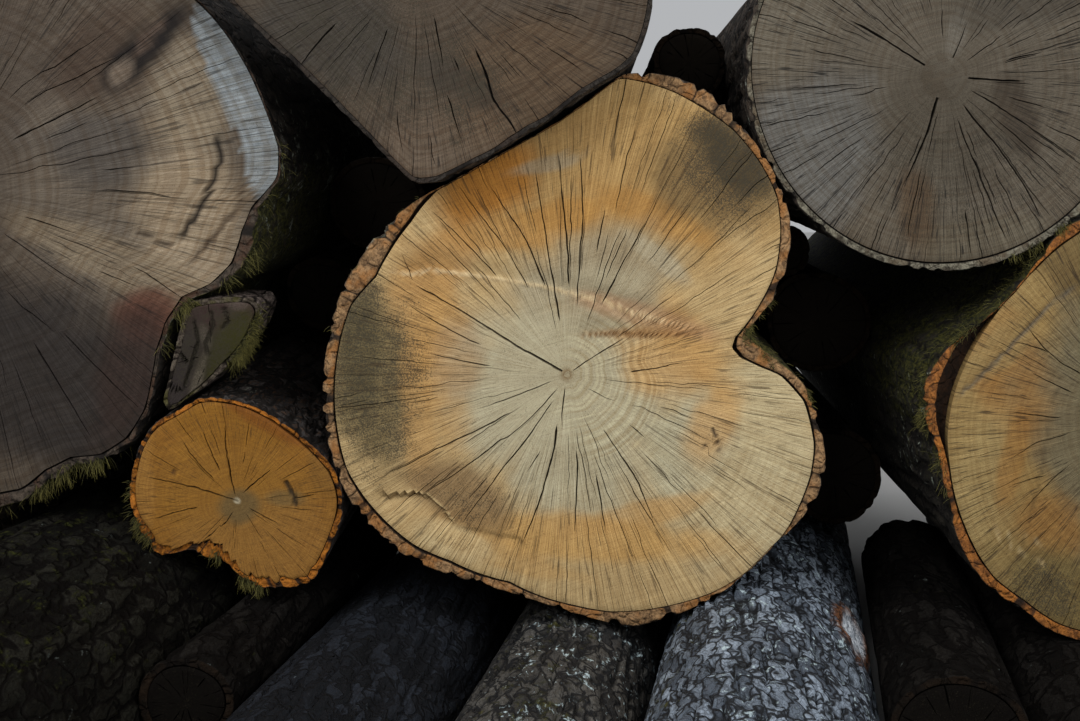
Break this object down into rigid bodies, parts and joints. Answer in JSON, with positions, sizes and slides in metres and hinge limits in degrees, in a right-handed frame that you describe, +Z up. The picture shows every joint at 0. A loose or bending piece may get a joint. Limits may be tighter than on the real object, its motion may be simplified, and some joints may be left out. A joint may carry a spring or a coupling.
{
  "type": "stack of logs",
  "caption": "Free-standing pile of short round logs with sawn ends, rough bark, moss and lichen, resting on one another on the ground.",
  "frame": {"origin": "on the floor, under the middle of the whole stack's box", "axes": "+Z up, +Y along the logs from the sawn front ends to the back, +X across the pile"},
  "size_m": [1.6404, 1.3, 0.8459],
  "materials": {
    "heart_wood": "freshly sawn, dry, with brown furrowed bark",
    "ochre_wood": "freshly sawn orange wood with thin bark",
    "yellow_wood": "sawn yellow wood with furrowed bark",
    "grey_wood": "weathered sawn wood with grey mossy bark",
    "mossy_bark": "rough dark bark with moss",
    "pale_bark": "smooth grey bark with pale lichen",
    "dark_bark": "rough dark bark"
  },
  "bodies": {
    "root": {"heart_log": "heart_wood", "small_log": "ochre_wood", "right_log": "yellow_wood", "left_log": "grey_wood", "top_log": "grey_wood", "round_log": "grey_wood", "left_bark": "mossy_bark", "far_left_log": "mossy_bark", "gap_left_log": "mossy_bark", "low_left_log": "dark_bark", "low_mid_log": "pale_bark", "low_right_log": "pale_bark", "corner_log": "dark_bark", "gap_top_log": "dark_bark", "gap_mid_log": "dark_bark", "end_left_log": "dark_bark", "end_right_log": "dark_bark", "low_gap_left_log": "dark_bark", "low_gap_right_log": "dark_bark", "gap_high_log": "dark_bark", "gap_low_log": "dark_bark", "gap_right_log": "dark_bark"}
  },
  "joints": []
}
